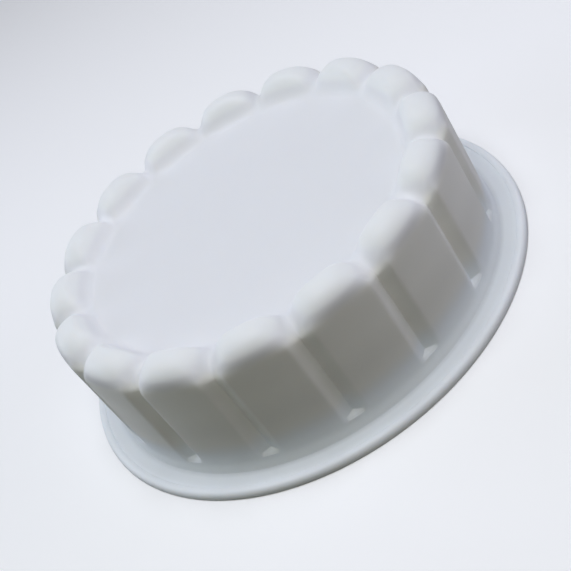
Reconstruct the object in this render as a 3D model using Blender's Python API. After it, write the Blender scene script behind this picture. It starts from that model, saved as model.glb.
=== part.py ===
"""Silicone mousse cake mould with sixteen round-topped fingers.

The mould is one seamless silicone moulding, drawn as it stands on a bench: rim down, closed end up.
From the centre outwards it has a flat round floor, a ring of tall fingers with sharp grooves between
them, a plain base band and a flat flange with a rounded bead along its edge. The wall is thin and
follows the fingers inside as well, so the hollow underneath has the shape of the cake.

Units are metres, +Z is up, and the origin is the centre of the plane that the rim stands on.
"""

import math

import bmesh
import bpy
from mathutils import Matrix, Vector

# Fingers around the mould, with broad round tops
FINGER_COUNT = 16
FINGER_HEIGHT = 0.0660
CROWN_RADIUS = 0.0877
CROWN_FULLNESS = 2.5
CROWN_ROUNDNESS = 2.9
SLOPE_ROUNDNESS = 3.5
FRONT_ROUNDNESS = 2.6
VALLEY_SHARE = 0.16
SHOULDER_RADIUS = 0.0996
SHOULDER_HEIGHT = 0.0548

# Sharp grooves between the fingers, and the small shelf that ends each one
GROOVE_START_RADIUS = 0.0879
GROOVE_SHOULDER_RADIUS = 0.0957
GROOVE_SHOULDER_DROP = 0.0032
GROOVE_FULLNESS = 2.6
GROOVE_FOOT_RADIUS = 0.0959
SHELF_HEIGHT = 0.0095
SHELF_FALL = 0.0012

# Base band, which flares in a hollow curve to the flange
BAND_RADIUS = 0.0996
BAND_FLARE = 0.0015

# Rim: flat flange with a rounded bead along its edge
FLANGE_RADIUS = 0.1125
FLANGE_THICKNESS = 0.0030
BEAD_WIDTH = 0.0042
BEAD_RISE = 0.0008
BEAD_FALL = 0.0028
RIM_CHAMFER = 0.0004

# Flat floor at the closed end
FLOOR_HEIGHT = 0.0558
FLOOR_RADIUS = 0.0774

# Silicone wall, a little thicker along the grooves, and the rounded mouth of the hollow
WALL_THICKNESS = 0.0022
RIDGE_THICKNESS = 0.0028
MOUTH_ROUNDING = 0.0016

# Columns of faces over half a finger, as shares of the way from its middle to the groove's bottom,
# and the softened share at which the flat front turns into the groove's side
COLUMN_SHARES = (0.0, 0.45, 0.66, 0.79, 1.0)
FRONT_SHARE = 0.725
FRONT_SOFTNESS = 0.25

# Fineness of the curves along the section
SLOPE_STEPS = 4
CROWN_STEPS = 6
INNER_SLOPE_STEPS = 3
INNER_CROWN_STEPS = 5
BAND_STEPS = 3
BEAD_STEPS = 4
MOUTH_STEPS = 2
MERGE_DISTANCE = 0.000001

SILICONE_COLOUR = (0.80, 0.81, 0.82, 1.0)
SILICONE_ROUGHNESS = 0.45

QUARTER_TURN = math.pi / 2


def superellipse(centre, reach, turn, fullness):
    """Point of a quarter superellipse: straight above the centre at no turn, beside it at a quarter turn."""
    across = abs(math.sin(turn)) ** (2 / fullness)
    up = abs(math.cos(turn)) ** (2 / fullness)
    return Vector((centre.x + reach.x * across, centre.y + reach.y * up))


def finger_section(slope_steps, crown_steps):
    """Section through the middle of a finger: up from the floor, over its round top and down its front."""
    floor_edge = Vector((FLOOR_RADIUS, FLOOR_HEIGHT))
    shoulder = Vector((SHOULDER_RADIUS, SHOULDER_HEIGHT))
    crown = Vector((CROWN_RADIUS, FINGER_HEIGHT))
    section = []
    for step in range(slope_steps):
        share = step / slope_steps
        rise = (1 - math.cos(math.pi * share)) / 2
        section.append(Vector((
            floor_edge.x + (crown.x - floor_edge.x) * share,
            floor_edge.y + (crown.y - floor_edge.y) * rise,
        )))
    centre = Vector((crown.x, shoulder.y))
    for step in range(crown_steps + 1):
        turn = QUARTER_TURN * step / crown_steps
        section.append(superellipse(centre, shoulder + crown - 2 * centre, turn, CROWN_FULLNESS))
    section.append(Vector((BAND_RADIUS, SHELF_HEIGHT)))
    return section


def groove_section(slope_steps, crown_steps, depth):
    """Section along the bottom of a groove, this deep inside the wall, point for point with the finger's."""
    floor_edge = Vector((FLOOR_RADIUS, FLOOR_HEIGHT - depth))
    start = Vector((GROOVE_START_RADIUS - depth, floor_edge.y))
    shoulder = Vector((GROOVE_SHOULDER_RADIUS - depth, start.y - GROOVE_SHOULDER_DROP))
    centre = Vector((start.x, shoulder.y))
    section = []
    for step in range(slope_steps):
        section.append(floor_edge.lerp(start, step / slope_steps))
    for step in range(crown_steps + 1):
        turn = QUARTER_TURN * step / crown_steps
        section.append(superellipse(centre, shoulder + start - 2 * centre, turn, GROOVE_FULLNESS))
    section.append(Vector((GROOVE_FOOT_RADIUS - depth, SHELF_HEIGHT)))
    return section


def crown_shares(slope_steps, crown_steps):
    """How much of the crown's roundness each point of the section has: all on top, none down the front."""
    shares = [1.0] * slope_steps
    for step in range(crown_steps + 1):
        shares.append(1 - (step / crown_steps) ** 3)
    shares.append(0.0)
    return shares


def roundnesses(slope_steps, crown_steps):
    """Fullness of the curve across a finger at each point: squarer up the slope, rounder over the top."""
    values = []
    for step in range(slope_steps):
        values.append(SLOPE_ROUNDNESS + (CROWN_ROUNDNESS - SLOPE_ROUNDNESS) * step / slope_steps)
    for step in range(crown_steps + 1):
        values.append(CROWN_ROUNDNESS + (FRONT_ROUNDNESS - CROWN_ROUNDNESS) * step / crown_steps)
    return values + [FRONT_ROUNDNESS]


def moved_inside(section, distance):
    """Section moved square to itself, from the outside of the wall to the inside."""
    moved = []
    for index, point in enumerate(section):
        before = section[max(index - 1, 0)]
        after = section[min(index + 1, len(section) - 1)]
        along = (after - before).normalized()
        moved.append(point + Vector((along.y, -along.x)) * distance)
    return moved


def plain(points):
    """Stations of a plain round stretch, where groove and finger have one section."""
    return [(point, point, 0.0, CROWN_ROUNDNESS) for point in points]


def band_stations():
    """Outside of the base band, from the edge of the shelves down to its crease with the flange."""
    edge = SHELF_HEIGHT - SHELF_FALL
    points = []
    for step in range(BAND_STEPS + 1):
        share = step / BAND_STEPS
        points.append(Vector((BAND_RADIUS + BAND_FLARE * share ** 2, edge + (FLANGE_THICKNESS - edge) * share)))
    return plain(points)


def rim_stations():
    """Bead along the flange's edge, from its inner side over its top and down to the bench."""
    half_width = BEAD_WIDTH / 2
    middle = FLANGE_RADIUS - half_width
    points = [Vector((middle - half_width, FLANGE_THICKNESS))]
    inner_centre = Vector((middle, FLANGE_THICKNESS))
    for step in range(1, BEAD_STEPS):
        turn = QUARTER_TURN * (1 - step / BEAD_STEPS)
        points.append(superellipse(inner_centre, Vector((-half_width, BEAD_RISE)), turn, 2))
    outer_centre = Vector((middle, FLANGE_THICKNESS + BEAD_RISE - BEAD_FALL))
    for step in range(BEAD_STEPS + 1):
        turn = QUARTER_TURN * step / BEAD_STEPS
        points.append(superellipse(outer_centre, Vector((half_width, BEAD_FALL)), turn, 2))
    points.append(Vector((FLANGE_RADIUS, RIM_CHAMFER)))
    points.append(Vector((FLANGE_RADIUS - RIM_CHAMFER, 0)))
    return plain(points)


def mouth_stations():
    """Rounded mouth of the hollow, from the flange's underside up to the inside of the base band."""
    inner_radius = BAND_RADIUS - WALL_THICKNESS
    centre = Vector((inner_radius + MOUTH_ROUNDING, MOUTH_ROUNDING))
    points = []
    for step in range(MOUTH_STEPS + 1):
        turn = QUARTER_TURN * step / MOUTH_STEPS
        points.append(superellipse(centre, Vector((-MOUTH_ROUNDING, -MOUTH_ROUNDING)), turn, 2))
    points.append(Vector((inner_radius, SHELF_HEIGHT - SHELF_FALL - WALL_THICKNESS)))
    return plain(points)


def finger_stations():
    """Outside of the fingers, from the floor's edge to the feet."""
    steps = (SLOPE_STEPS, CROWN_STEPS)
    return list(zip(finger_section(*steps), groove_section(*steps, 0), crown_shares(*steps), roundnesses(*steps)))


def hollow_stations():
    """Inside of the wall, from the feet of the fingers over their crowns to the floor's edge."""
    steps = (INNER_SLOPE_STEPS, INNER_CROWN_STEPS)
    fingers = moved_inside(finger_section(*steps), WALL_THICKNESS)
    grooves = groove_section(*steps, RIDGE_THICKNESS)
    foot = SHELF_HEIGHT - WALL_THICKNESS
    ceiling = FLOOR_HEIGHT - WALL_THICKNESS
    fingers[-1].y = foot
    grooves[-1].y = foot
    stations = list(zip(fingers, grooves, crown_shares(*steps), roundnesses(*steps)))
    return stations[:0:-1] + plain([Vector((FLOOR_RADIUS, ceiling)), Vector((0, ceiling))])


def wall_stations():
    """All stations of the wall's section, out over the closed end, under the rim and back through the hollow."""
    return (
        plain([Vector((0, FLOOR_HEIGHT))]) + finger_stations() + band_stations() + rim_stations()
        + mouth_stations() + hollow_stations()
    )


def crown_side(share, roundness):
    """How far down the side of the crown a place is: round, with a small hollow curve in the valley."""
    start = 1 - VALLEY_SHARE
    steepness = roundness * start ** (roundness - 1)
    beyond = max(0, share - start)
    down = min(share, start) ** roundness + steepness * (beyond - beyond ** 2 / (2 * VALLEY_SHARE))
    return down / (start ** roundness + steepness * VALLEY_SHARE / 2)


def groove_side(share):
    """How far down the side of the groove a place is: none on the flat front, all at the groove's bottom."""
    along = (share - FRONT_SHARE) / (1 - FRONT_SHARE)
    if along < -FRONT_SOFTNESS:
        return 0.0
    if along < FRONT_SOFTNESS:
        return (along + FRONT_SOFTNESS) ** 2 / (4 * FRONT_SOFTNESS)
    return along


def press_grooves(mesh, station_of, stations):
    """Slides each vertex of the turned wall from the finger's section towards the groove's."""
    pitch = 2 * math.pi / FINGER_COUNT
    last = len(COLUMN_SHARES) - 1
    for vertex in mesh.verts:
        finger, groove, crown_share, roundness = stations[vertex[station_of]]
        turn = math.atan2(vertex.co.y, vertex.co.x)
        number = round(turn / pitch)
        across = 2 * (turn / pitch - number)
        share = COLUMN_SHARES[round(abs(across) * last)]
        down = crown_share * crown_side(share, roundness) + (1 - crown_share) * groove_side(share)
        point = finger.lerp(groove, down)
        turn = (number + math.copysign(share, across) / 2) * pitch
        vertex.co = Matrix.Rotation(turn, 3, "Z") @ Vector((point.x, 0, point.y))


def turned_wall(stations):
    """Wall turned from its section around the mould's axis, with the grooves pressed in."""
    mesh = bmesh.new()
    station_of = mesh.verts.layers.int.new("station")
    chain = []
    for number, station in enumerate(stations):
        vertex = mesh.verts.new((station[0].x, 0, station[0].y))
        vertex[station_of] = number
        chain.append(vertex)
    edges = [mesh.edges.new(pair) for pair in zip(chain, chain[1:])]
    bmesh.ops.spin(
        mesh, geom=chain + edges, cent=(0, 0, 0), axis=(0, 0, 1), angle=2 * math.pi,
        steps=2 * FINGER_COUNT * (len(COLUMN_SHARES) - 1), use_merge=True,
    )
    bmesh.ops.remove_doubles(mesh, verts=mesh.verts, dist=MERGE_DISTANCE)
    press_grooves(mesh, station_of, stations)
    bmesh.ops.recalc_face_normals(mesh, faces=mesh.faces)
    return mesh


def silicone():
    """White food-grade silicone."""
    material = bpy.data.materials.new("white_silicone")
    material.use_nodes = True
    shader = material.node_tree.nodes["Principled BSDF"]
    shader.inputs["Base Color"].default_value = SILICONE_COLOUR
    shader.inputs["Roughness"].default_value = SILICONE_ROUGHNESS
    shader.inputs["Metallic"].default_value = 0.0
    material.diffuse_color = SILICONE_COLOUR
    return material


def mould():
    """The moulding, as one named object."""
    wall = turned_wall(wall_stations())
    mesh = bpy.data.meshes.new("mould_body")
    wall.to_mesh(mesh)
    wall.free()
    mesh.shade_smooth()
    mesh.set_sharp_from_angle(angle=math.radians(40))
    mesh.materials.append(silicone())
    body = bpy.data.objects.new("mould_body", mesh)
    bpy.context.collection.objects.link(body)
    return body


for leftover in list(bpy.data.objects):
    bpy.data.objects.remove(leftover, do_unlink=True)
mould()
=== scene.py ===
import math

import bmesh
import bpy
from mathutils import Euler, Matrix, Vector

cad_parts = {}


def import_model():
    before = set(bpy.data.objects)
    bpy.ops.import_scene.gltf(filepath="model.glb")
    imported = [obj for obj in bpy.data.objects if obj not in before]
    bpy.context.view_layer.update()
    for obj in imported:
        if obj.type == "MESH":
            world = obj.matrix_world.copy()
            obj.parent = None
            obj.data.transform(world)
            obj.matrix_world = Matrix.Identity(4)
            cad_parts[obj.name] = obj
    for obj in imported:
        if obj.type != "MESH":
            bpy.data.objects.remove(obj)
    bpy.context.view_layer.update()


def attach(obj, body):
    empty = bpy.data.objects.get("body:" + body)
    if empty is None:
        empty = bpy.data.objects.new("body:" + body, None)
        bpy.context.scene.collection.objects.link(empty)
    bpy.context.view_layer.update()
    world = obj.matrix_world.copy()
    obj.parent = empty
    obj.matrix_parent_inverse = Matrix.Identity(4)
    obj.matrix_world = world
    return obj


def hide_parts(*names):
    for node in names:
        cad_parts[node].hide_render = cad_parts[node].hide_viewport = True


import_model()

# Sizes of the mould, in metres
FINGERS = 16
FINGER_TOP = 0.0660
CROWN_RADIUS = 0.0877
CROWN_FULLNESS = 2.5
CROWN_ROUNDNESS = 2.9
SLOPE_ROUNDNESS = 3.5
FRONT_ROUNDNESS = 2.6
CROWN_HOLD = 3  # how long the crown's roundness holds on its way over to the front
VALLEY_SHARE = 0.16
SLOPE_TURN = 0.47
SLOPE_FULLNESS = 2.1
SHOULDER_RADIUS = 0.0996
SHOULDER_HEIGHT = 0.0548

GROOVE_START_RADIUS = 0.0879
GROOVE_SHOULDER_RADIUS = 0.0957
GROOVE_SHOULDER_DROP = 0.0032
VALLEY_RISE = 0.0024
VALLEY_FULLNESS = 1.7
GROOVE_FOOT_RADIUS = 0.0959
SHELF_HEIGHT = 0.0095
SHELF_FALL = 0.0012

BAND_RADIUS = 0.0996
BAND_FLARE = 0.0015
CREASE_FILLET = 0.0003

FLANGE_RADIUS = 0.1125
FLANGE_THICKNESS = 0.0030
BEAD_WIDTH = 0.0042
BEAD_RISE = 0.0008
BEAD_FALL = 0.0028
RIM_CHAMFER = 0.0004

FLOOR_HEIGHT = 0.0558
FLOOR_RADIUS = 0.0774

WALL = 0.0022
RIDGE_WALL = 0.0028
MOUTH_ROUNDING = 0.0016

# Rings of faces that keep the flat stretches flat up to where they turn
FLOOR_RINGS = (0.0, 0.02, 0.04, 0.06, 0.070, 0.0740)
FLOOR_EDGE_GAP = 0.0008
BEAD_FAR_GAP = 0.0035
BEAD_NEAR_GAP = 0.0010
BEAD_SINK = 0.0001
MOUTH_GAP = 0.0008
MERGE_DISTANCE = 0.000001

# Steps along the section
SLOPE_STEPS = 12
CROWN_STEPS = 14
FRONT_STEPS = 12
BAND_STEPS = 6
BEAD_STEPS = 6
MOUTH_STEPS = 5

# Columns of faces over half a finger, closer together where the front turns into the groove
COLUMNS = (
    0.0, 0.12, 0.24, 0.35, 0.45, 0.53, 0.59, 0.64, 0.68, 0.715, 0.75, 0.785, 0.82, 0.86, 0.90, 0.935,
    0.96, 0.98, 1.0,
)
FRONT_SHARE = 0.725
FRONT_SOFTNESS = 0.22
BOTTOM_SOFTNESS = 0.07

QUARTER = math.pi / 2
CIRCLE = 2  # fullness of a superellipse that is round
CORNER = 0.3  # how near the middle point of a small chamfer or fillet is to its corner
SHARP_ANGLE = 38

# Where painted light and shade change the silicone's colour: heights above the bench, and distances
# from the mould's axis
CROWN_HEIGHTS = (0.0598, 0.0630)
FRONT_RADII = (0.0930, 0.0965)
FRONT_END_HEIGHTS = (0.0545, 0.0595)
TURN_RADII = (0.0950, 0.0975)
TURN_START_HEIGHTS = (0.0560, 0.0588)
TURN_END_HEIGHTS = (0.0595, 0.0618)
LOWER_FRONT_HEIGHTS = (0.0250, 0.0420)
COOL_HEIGHTS = (0.0120, 0.0220)
FOOT_HEIGHTS = (0.0100, 0.0180)
SHELF_HEIGHTS = (0.0094, 0.0102)
SHELF_RADII = (0.0980, 0.0992)
FLANGE_HEIGHTS = (0.0040, 0.0060)
CREASE_HEIGHTS = (0.0036, 0.0062)
CREASE_RADII = (0.1010, 0.1035)
RIM_RADII = (0.1060, 0.1090)

# How pale the silicone is, how much its tone differs at random, and how much painted light makes each
# place paler or painted shade makes it duller
PALENESS = 0.855
CLOUD_CHANGE = 0.02
# Painted light on the crowns, and painted shade where they turn over into the fronts
CROWN_PAINTED_LIGHT = 0.058
TURN_PAINTED_SHADE = -0.09
# Painted light up the fronts, painted shade low on them, and painted light again at the foot
FRONT_PAINTED_LIGHT = 0.05
LOWER_FRONT_PAINTED_SHADE = -0.09
FOOT_PAINTED_LIGHT = 0.045
# Painted light on the shelves and the flange, painted shade in the crease, painted light on the rim
SHELF_PAINTED_LIGHT = 0.095
FLANGE_PAINTED_LIGHT = 0.06
CREASE_PAINTED_SHADE = -0.125
RIM_PAINTED_LIGHT = 0.03

# Tints: the floor's is the silicone's own; on the crowns, up the fronts and round the foot they are the
# painted colour of light, warm up the fronts and cool round the foot
FLOOR_TINT = (0.994, 1.0, 1.008, 1)
CROWN_PAINTED_LIGHT_TINT = (0.984, 1.0, 0.984, 1)
FRONT_PAINTED_LIGHT_TINT = (1.005, 1.0, 0.945, 1)
FOOT_PAINTED_LIGHT_TINT = (0.958, 1.0, 1.028, 1)

# Unevenness of the surface: scale and detail of each noise, and what it does
CLOUDS = (28.0, 3.0)
GRAIN = (1500.0, 2.0)
WAVES = (60.0, 2.0)
GRAIN_SHARE = 0.15
RELIEF_HEIGHT = 0.0002
ROUGHNESS = 0.50
CLOUD_ROUGHNESS = 0.08

# Greys of the bench, as it lights the mould and as it is seen, and of what is behind it
BENCH_DIM = 0.15
BENCH_PALE = 0.86
BENCH_LIFT = 0.20
BACKGROUND = 0.88

# Lamps: name, azimuth and elevation in degrees, power in watts, colour
LAMPS = (
    ("overhead", 0, 90, 7.05, (0.96, 1.0, 1.11)),
    ("back_left", 144, 20, 2.55, (0.94, 1.0, 1.22)),
    ("front_right", -36, 20, 1.3, (1.03, 1.0, 1.06)),
    ("front", -96, 45, 1.2, (1.03, 1.0, 0.78)),
    ("right", -6, 20, 1.2, (0.97, 1.0, 1.30)),
    ("left", 174, 20, 0.45, (0.8, 1.0, 0.6)),
)
LAMP_WIDTH = 0.6
LAMP_DISTANCE = 1.1

BENCH_REACH = 0.95

# Camera, fitted to the photograph: metres, degrees, millimetres
CAMERA_PLACE = (-0.04271, -0.41674, 0.30395)
CAMERA_TURN = (49.0519, 28.8613, -28.2623)
SENSOR_WIDTH = 36
FOCAL_LENGTH = 69.03
CAMERA_SHIFT = (0.0006, -0.0008)


# Section of the wall
def superellipse(centre, reach, turn, fullness):
    """Point of a quarter superellipse, above the centre at no turn and beside it at a quarter turn."""
    across = abs(math.sin(turn)) ** (2 / fullness)
    up = abs(math.cos(turn)) ** (2 / fullness)
    return Vector((centre.x + reach.x * across, centre.y + reach.y * up))


def front_points(top, foot):
    """Points straight down the front, from just below the shoulder to the foot."""
    return [top.lerp(foot, step / FRONT_STEPS) for step in range(1, FRONT_STEPS + 1)]


def over_points(start, shoulder, fullness):
    """Points in a round turn from the top of a section over to its shoulder."""
    centre = Vector((start.x, shoulder.y))
    reach = shoulder + start - 2 * centre
    turns = [QUARTER * step / CROWN_STEPS for step in range(CROWN_STEPS + 1)]
    return [superellipse(centre, reach, turn, fullness) for turn in turns]


def slope_rise(share):
    """Rise of the slope from the floor up to the crowns: hollow at its foot, then round."""
    low = SLOPE_FULLNESS * SLOPE_TURN / (2 * (1 - SLOPE_TURN) + SLOPE_FULLNESS * SLOPE_TURN)
    if share < SLOPE_TURN:
        return low * (share / SLOPE_TURN) ** 2
    return 1 - (1 - low) * ((1 - share) / (1 - SLOPE_TURN)) ** SLOPE_FULLNESS


def slope_points(foot, top):
    """Points up a slope from its foot to just short of its top."""
    shares = [step / SLOPE_STEPS for step in range(SLOPE_STEPS)]
    return [
        Vector((foot.x + (top.x - foot.x) * share, foot.y + (top.y - foot.y) * slope_rise(share)))
        for share in shares
    ]


def finger_section():
    """Section through the middle of a finger, from the floor's edge over its top to its foot."""
    floor_edge = Vector((FLOOR_RADIUS, FLOOR_HEIGHT))
    crown = Vector((CROWN_RADIUS, FINGER_TOP))
    shoulder = Vector((SHOULDER_RADIUS, SHOULDER_HEIGHT))
    foot = Vector((BAND_RADIUS, SHELF_HEIGHT))
    return (
        slope_points(floor_edge, crown) + over_points(crown, shoulder, CROWN_FULLNESS)
        + front_points(shoulder, foot)
    )


def groove_section(depth):
    """Section along a groove's bottom, this deep inside the wall, point for point with the finger's."""
    floor_edge = Vector((FLOOR_RADIUS, FLOOR_HEIGHT - depth))
    start = Vector((GROOVE_START_RADIUS - depth, FLOOR_HEIGHT - depth + VALLEY_RISE))
    shoulder = Vector((GROOVE_SHOULDER_RADIUS - depth, FLOOR_HEIGHT - depth - GROOVE_SHOULDER_DROP))
    foot = Vector((GROOVE_FOOT_RADIUS - depth, SHELF_HEIGHT))
    return (
        slope_points(floor_edge, start) + over_points(start, shoulder, VALLEY_FULLNESS)
        + front_points(shoulder, foot)
    )


def crown_shares():
    """How much of the crown's roundness each point of the section has: all on top, none in front."""
    over_top = [1 - (step / CROWN_STEPS) ** CROWN_HOLD for step in range(CROWN_STEPS + 1)]
    return [1.0] * SLOPE_STEPS + over_top + [0.0] * FRONT_STEPS


def roundnesses():
    """Fullness of the curve across a finger at each point: squarer up the slope, then rounder."""
    up_slope = [
        SLOPE_ROUNDNESS + (CROWN_ROUNDNESS - SLOPE_ROUNDNESS) * step / SLOPE_STEPS
        for step in range(SLOPE_STEPS)
    ]
    over_top = [
        CROWN_ROUNDNESS + (FRONT_ROUNDNESS - CROWN_ROUNDNESS) * step / CROWN_STEPS
        for step in range(CROWN_STEPS + 1)
    ]
    return up_slope + over_top + [FRONT_ROUNDNESS] * FRONT_STEPS


def moved_inside(section, distance):
    """Section moved square to itself, from the outside of the wall to the inside."""
    moved = []
    for index, point in enumerate(section):
        before = section[max(index - 1, 0)]
        after = section[min(index + 1, len(section) - 1)]
        along = (after - before).normalized()
        moved.append(point + Vector((along.y, -along.x)) * distance)
    return moved


def plain(points):
    """Stations of a plain round stretch, where groove and finger have one section."""
    return [(point, point, 0.0, CROWN_ROUNDNESS) for point in points]


def floor_stations(height):
    """Flat floor at this height, in rings from its centre out."""
    rings = FLOOR_RINGS + (FLOOR_RADIUS - FLOOR_EDGE_GAP,)
    return plain([Vector((radius, height)) for radius in rings])


def finger_stations():
    """Outside of the fingers, from the floor's edge to their feet."""
    return list(zip(finger_section(), groove_section(0.0), crown_shares(), roundnesses()))


def band_stations():
    """Base band, from the shelves' edge out in a hollow curve to the crease with the flange."""
    edge = SHELF_HEIGHT - SHELF_FALL
    foot = FLANGE_THICKNESS + CREASE_FILLET
    points = []
    for step in range(BAND_STEPS + 1):
        share = step / BAND_STEPS
        points.append(Vector((BAND_RADIUS + BAND_FLARE * share ** 2, edge + (foot - edge) * share)))
    start = points[-1].x
    points.append(Vector((start + CREASE_FILLET * CORNER, foot - CREASE_FILLET * (1 - CORNER))))
    points.append(Vector((start + CREASE_FILLET, FLANGE_THICKNESS)))
    return plain(points)


def rim_stations():
    """Flange and the low bead along its edge, down to the bench."""
    half_width = BEAD_WIDTH / 2
    middle = FLANGE_RADIUS - half_width
    bead_start = middle - half_width
    points = [
        Vector((bead_start - BEAD_FAR_GAP, FLANGE_THICKNESS)),
        Vector((bead_start - BEAD_NEAR_GAP, FLANGE_THICKNESS)),
        Vector((bead_start, FLANGE_THICKNESS - BEAD_SINK)),
    ]
    inner_centre = Vector((middle, FLANGE_THICKNESS))
    for step in range(1, BEAD_STEPS):
        turn = QUARTER * (1 - step / BEAD_STEPS)
        points.append(superellipse(inner_centre, Vector((-half_width, BEAD_RISE)), turn, CIRCLE))
    outer_centre = Vector((middle, FLANGE_THICKNESS + BEAD_RISE - BEAD_FALL))
    for step in range(BEAD_STEPS + 1):
        turn = QUARTER * step / BEAD_STEPS
        points.append(superellipse(outer_centre, Vector((half_width, BEAD_FALL)), turn, CIRCLE))
    points.append(Vector((FLANGE_RADIUS, RIM_CHAMFER)))
    points.append(Vector((FLANGE_RADIUS - RIM_CHAMFER * CORNER, RIM_CHAMFER * CORNER)))
    points.append(Vector((FLANGE_RADIUS - RIM_CHAMFER, 0)))
    return plain(points)


def mouth_stations():
    """Rounded mouth of the hollow, from the flange's underside up the inside of the base band."""
    inner_radius = BAND_RADIUS - WALL
    centre = Vector((inner_radius + MOUTH_ROUNDING, MOUTH_ROUNDING))
    reach = Vector((-MOUTH_ROUNDING, -MOUTH_ROUNDING))
    points = [Vector((centre.x + MOUTH_GAP, 0))]
    for step in range(MOUTH_STEPS + 1):
        points.append(superellipse(centre, reach, QUARTER * step / MOUTH_STEPS, CIRCLE))
    points.append(Vector((inner_radius, SHELF_HEIGHT - SHELF_FALL - WALL)))
    return plain(points)


def hollow_stations():
    """Inside of the fingers, from their feet over their crowns to the floor's edge."""
    fingers = moved_inside(finger_section(), WALL)
    grooves = groove_section(RIDGE_WALL)
    fingers[-1].y = grooves[-1].y = SHELF_HEIGHT - WALL
    return list(zip(fingers, grooves, crown_shares(), roundnesses()))[:0:-1]


def wall_stations():
    """All stations, out over the closed end, under the rim and back through the hollow."""
    return (
        floor_stations(FLOOR_HEIGHT) + finger_stations() + band_stations() + rim_stations()
        + mouth_stations() + hollow_stations() + floor_stations(FLOOR_HEIGHT - WALL)[::-1]
    )


# Mesh
def softened(along, softness):
    """A ramp that starts at nought, with its corner rounded over this much to either side."""
    if along < -softness:
        return 0.0
    if along < softness:
        return (along + softness) ** 2 / (4 * softness)
    return along


def crown_side(share, roundness):
    """How far down the crown's side a place is: round, with a small hollow curve in the valley."""
    start = 1 - VALLEY_SHARE
    steepness = roundness * start ** (roundness - 1)
    beyond = max(0, share - start)
    down = min(share, start) ** roundness + steepness * (beyond - beyond ** 2 / (2 * VALLEY_SHARE))
    return down / (start ** roundness + steepness * VALLEY_SHARE / 2)


def groove_side(share):
    """How far down the groove's side a place is: flat front, soft edge, straight side, soft bottom."""
    ramp = softened((share - FRONT_SHARE) / (1 - FRONT_SHARE), FRONT_SOFTNESS)
    return ramp - softened(ramp - 1, BOTTOM_SOFTNESS)


def press_grooves(mesh, station_of, stations):
    """Slides each vertex of the turned wall from the finger's section towards the groove's."""
    pitch = 2 * math.pi / FINGERS
    last = len(COLUMNS) - 1
    for vertex in mesh.verts:
        finger, groove, crown_share, roundness = stations[vertex[station_of]]
        turn = math.atan2(vertex.co.y, vertex.co.x)
        number = round(turn / pitch)
        across = 2 * (turn / pitch - number)
        share = COLUMNS[round(abs(across) * last)]
        down = crown_share * crown_side(share, roundness) + (1 - crown_share) * groove_side(share)
        point = finger.lerp(groove, down)
        turn = (number + math.copysign(share, across) / 2) * pitch
        vertex.co = Matrix.Rotation(turn, 3, "Z") @ Vector((point.x, 0, point.y))


def mould_mesh():
    """The whole moulding, turned from its section with the grooves pressed in."""
    stations = wall_stations()
    mesh = bmesh.new()
    station_of = mesh.verts.layers.int.new("station")
    chain = []
    for number, station in enumerate(stations):
        vertex = mesh.verts.new((station[0].x, 0, station[0].y))
        vertex[station_of] = number
        chain.append(vertex)
    edges = [mesh.edges.new(pair) for pair in zip(chain, chain[1:])]
    bmesh.ops.spin(
        mesh, geom=chain + edges, cent=(0, 0, 0), axis=(0, 0, 1), angle=2 * math.pi,
        steps=2 * FINGERS * (len(COLUMNS) - 1), use_merge=True,
    )
    bmesh.ops.remove_doubles(mesh, verts=mesh.verts, dist=MERGE_DISTANCE)
    press_grooves(mesh, station_of, stations)
    mesh.verts.layers.int.remove(station_of)
    bmesh.ops.recalc_face_normals(mesh, faces=mesh.faces)
    return mesh


# Finishes
class Flow:
    """A shader socket that takes part in sums and products like a number."""

    def __init__(self, maker, socket):
        self.maker = maker
        self.socket = socket

    def combined(self, operation, first, second):
        return self.maker.node("ShaderNodeMath", {"operation": operation}, {0: first, 1: second})

    def __add__(self, other):
        return self.combined("ADD", self, other)

    def __rsub__(self, other):
        return self.combined("SUBTRACT", other, self)

    def __mul__(self, other):
        return self.combined("MULTIPLY", self, other)

    __radd__ = __add__
    __rmul__ = __mul__


class Maker:
    """Puts nodes into one material, or into the world."""

    def __init__(self, owner):
        owner.use_nodes = True
        self.owner = owner
        self.tree = owner.node_tree

    def set(self, node, inputs):
        for key, value in inputs.items():
            if isinstance(value, Flow):
                self.tree.links.new(value.socket, node.inputs[key])
            else:
                node.inputs[key].default_value = value

    def node(self, kind, settings, inputs, output=0):
        node = self.tree.nodes.new(kind)
        for key, value in settings.items():
            setattr(node, key, value)
        self.set(node, inputs)
        return Flow(self, node.outputs[output])


def above(maker, measure, span):
    """Soft step from nought at the low end of a span to one at its high end."""
    low, high = span
    return maker.node(
        "ShaderNodeMapRange", {"interpolation_type": "SMOOTHSTEP"},
        {"Value": measure, "From Min": low, "From Max": high}, "Result",
    )


def mixed(maker, share, first, second, way="MIX"):
    """The first colour with this share of the second mixed in, or laid over it another way."""
    return maker.node(
        "ShaderNodeMix", {"data_type": "RGBA", "blend_type": way},
        {"Factor": share, "A": first, "B": second}, "Result",
    )


def speckle(maker, place, pattern):
    """Noise over the surface, after a pattern of scale and detail."""
    scale, detail = pattern
    inputs = {"Vector": place, "Scale": scale, "Detail": detail}
    return maker.node("ShaderNodeTexNoise", {}, inputs, "Fac")


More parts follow.
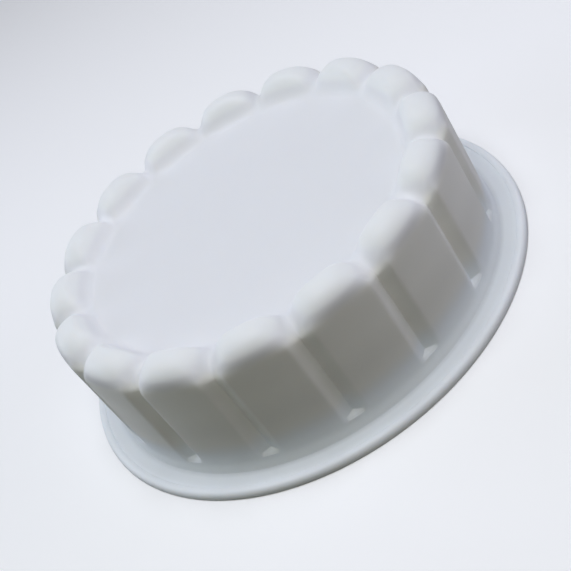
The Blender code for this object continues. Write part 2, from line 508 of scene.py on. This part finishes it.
def colour_with_painted_light(maker, place, clouds):
    """Colour of the silicone with painted light and shade: painted warm light up the fronts, painted
    cool light round the foot, painted light on crowns, shelves, flange and rim, painted shade over the
    crowns' front turn, low on the fronts and in the crease.
    """
    height = maker.node("ShaderNodeSeparateXYZ", {}, {"Vector": place}, "Z")
    plan = maker.node("ShaderNodeVectorMath", {"operation": "MULTIPLY"}, {0: place, 1: (1, 1, 0)})
    radius = maker.node("ShaderNodeVectorMath", {"operation": "LENGTH"}, {0: plan}, "Value")

    # Masks of painted light on the crowns and of the fronts below them
    crown = above(maker, height, CROWN_HEIGHTS)
    front = above(maker, radius, FRONT_RADII) * (1 - above(maker, height, FRONT_END_HEIGHTS))
    # Painted shade where the crowns turn over into the fronts
    turn = above(maker, radius, TURN_RADII) * above(maker, height, TURN_START_HEIGHTS)
    turn = turn * (1 - above(maker, height, TURN_END_HEIGHTS))
    # Painted shade low on the fronts, painted light at the foot and on the shelves
    lower_front = 1 - above(maker, height, LOWER_FRONT_HEIGHTS)
    foot = 1 - above(maker, height, FOOT_HEIGHTS)
    shelf = (1 - above(maker, height, SHELF_HEIGHTS)) * (1 - above(maker, radius, SHELF_RADII))
    # Painted light on the flange, painted shade in the crease, painted light on the rim
    flange = 1 - above(maker, height, FLANGE_HEIGHTS)
    crease = (1 - above(maker, radius, CREASE_RADII)) * (1 - above(maker, height, CREASE_HEIGHTS))
    rim = above(maker, radius, RIM_RADII)
    front_painted_light_and_shade = (
        FRONT_PAINTED_LIGHT + lower_front * LOWER_FRONT_PAINTED_SHADE + foot * FOOT_PAINTED_LIGHT + shelf * SHELF_PAINTED_LIGHT
        + flange * FLANGE_PAINTED_LIGHT + crease * CREASE_PAINTED_SHADE + rim * RIM_PAINTED_LIGHT
    )
    own_tone_and_painted_light = (
        PALENESS + clouds * CLOUD_CHANGE + crown * CROWN_PAINTED_LIGHT + turn * TURN_PAINTED_SHADE
        + front * front_painted_light_and_shade
    )
    # Painted colour of light over the base tint: on the crowns, warm up the fronts, cool round the foot
    own_tint_and_painted_light = mixed(maker, front, mixed(maker, crown, FLOOR_TINT, CROWN_PAINTED_LIGHT_TINT), FRONT_PAINTED_LIGHT_TINT)
    own_tint_and_painted_light = mixed(maker, 1 - above(maker, height, COOL_HEIGHTS), own_tint_and_painted_light, FOOT_PAINTED_LIGHT_TINT)
    return mixed(maker, 1.0, own_tint_and_painted_light, own_tone_and_painted_light, "MULTIPLY")


def silicone():
    """White silicone: satin, slightly see-into, with a fine grain and a faint waviness."""
    maker = Maker(bpy.data.materials.new("white_silicone"))
    place = maker.node("ShaderNodeTexCoord", {}, {}, "Object")
    clouds = speckle(maker, place, CLOUDS)
    grain = speckle(maker, place, GRAIN)
    waves = speckle(maker, place, WAVES)
    relief = {"Height": grain * GRAIN_SHARE + waves, "Strength": 0.25, "Distance": RELIEF_HEIGHT}
    maker.set(maker.tree.nodes["Principled BSDF"], {
        "Base Color": colour_with_painted_light(maker, place, clouds),
        "Roughness": ROUGHNESS + clouds * CLOUD_ROUGHNESS,
        "Normal": maker.node("ShaderNodeBump", {}, relief, "Normal"),
        "IOR": 1.41,
        "Subsurface Weight": 0.25,
        "Subsurface Radius": (1.0, 0.9, 0.8),
        "Subsurface Scale": 0.002,
    })
    return maker.owner


def grey(level):
    """A plain grey as the colour sockets take it."""
    return (level, level, level, 1)


def looked_at(maker, dim, shown):
    """Mix of two shaders: a dim one for the light it gives, and one for the camera, gloss and glass."""
    camera_ray, glossy_ray, glass_ray = (
        maker.node("ShaderNodeLightPath", {}, {}, "Is %s Ray" % kind)
        for kind in ("Camera", "Glossy", "Transmission")
    )
    seen = camera_ray + glossy_ray + glass_ray
    return maker.node("ShaderNodeMixShader", {}, {0: seen, 1: dim, 2: shown})


def bench():
    """Pale bench top that throws little light back up at the mould."""
    maker = Maker(bpy.data.materials.new("pale_bench"))
    dim = maker.node("ShaderNodeBsdfDiffuse", {}, {"Color": grey(BENCH_DIM)})
    pale = maker.node("ShaderNodeBsdfDiffuse", {}, {"Color": grey(BENCH_PALE)})
    lift = maker.node("ShaderNodeEmission", {}, {"Color": grey(BENCH_LIFT)})
    shown = maker.node("ShaderNodeAddShader", {}, {0: pale, 1: lift})
    maker.set(maker.tree.nodes["Material Output"], {"Surface": looked_at(maker, dim, shown)})
    return maker.owner


# Pieces, camera and light
def placed(name, mesh, material):
    """An object made from a bmesh, at the origin."""
    data = bpy.data.meshes.new(name)
    mesh.to_mesh(data)
    mesh.free()
    data.materials.append(material)
    piece = bpy.data.objects.new(name, data)
    bpy.context.collection.objects.link(piece)
    return piece


def mould():
    """The silicone moulding that stands for the CAD body."""
    piece = placed("mousse_mould", mould_mesh(), silicone())
    piece.data.shade_smooth()
    piece.data.set_sharp_from_angle(angle=math.radians(SHARP_ANGLE))
    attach(piece, "root")
    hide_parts("mould_body")


def floor():
    """Bench that the mould stands on."""
    mesh = bmesh.new()
    bmesh.ops.create_grid(mesh, x_segments=1, y_segments=1, size=BENCH_REACH)
    piece = placed("bench", mesh, bench())


def camera():
    """Camera at the photograph's viewing angle."""
    lens = bpy.data.cameras.new("camera")
    lens.sensor_width = SENSOR_WIDTH
    lens.lens = FOCAL_LENGTH
    lens.shift_x, lens.shift_y = CAMERA_SHIFT
    eye = bpy.data.objects.new("camera", lens)
    eye.location = CAMERA_PLACE
    eye.rotation_euler = [math.radians(angle) for angle in CAMERA_TURN]
    bpy.context.collection.objects.link(eye)
    bpy.context.scene.camera = eye


def lamp(name, azimuth, elevation, power, colour):
    """Square soft light that looks at the mould from this direction, in degrees."""
    light = bpy.data.lights.new(name, "AREA")
    light.energy = power
    light.size = LAMP_WIDTH
    light.color = colour
    holder = bpy.data.objects.new(name, light)
    turn = Euler((0, math.radians(90 - elevation), math.radians(azimuth)))
    holder.location = turn.to_matrix() @ Vector((0, 0, LAMP_DISTANCE))
    holder.rotation_euler = turn
    bpy.context.collection.objects.link(holder)


def world():
    """Pale background behind the bench, with no light of its own."""
    maker = Maker(bpy.data.worlds.new("studio"))
    dark = maker.node("ShaderNodeBackground", {}, {"Strength": 0.0})
    pale = maker.node("ShaderNodeBackground", {}, {"Color": grey(BACKGROUND)})
    maker.set(maker.tree.nodes["World Output"], {"Surface": looked_at(maker, dark, pale)})
    bpy.context.scene.world = maker.owner


mould()
floor()
camera()
for row in LAMPS:
    lamp(*row)
world()
bpy.context.scene.view_settings.view_transform = "Standard"
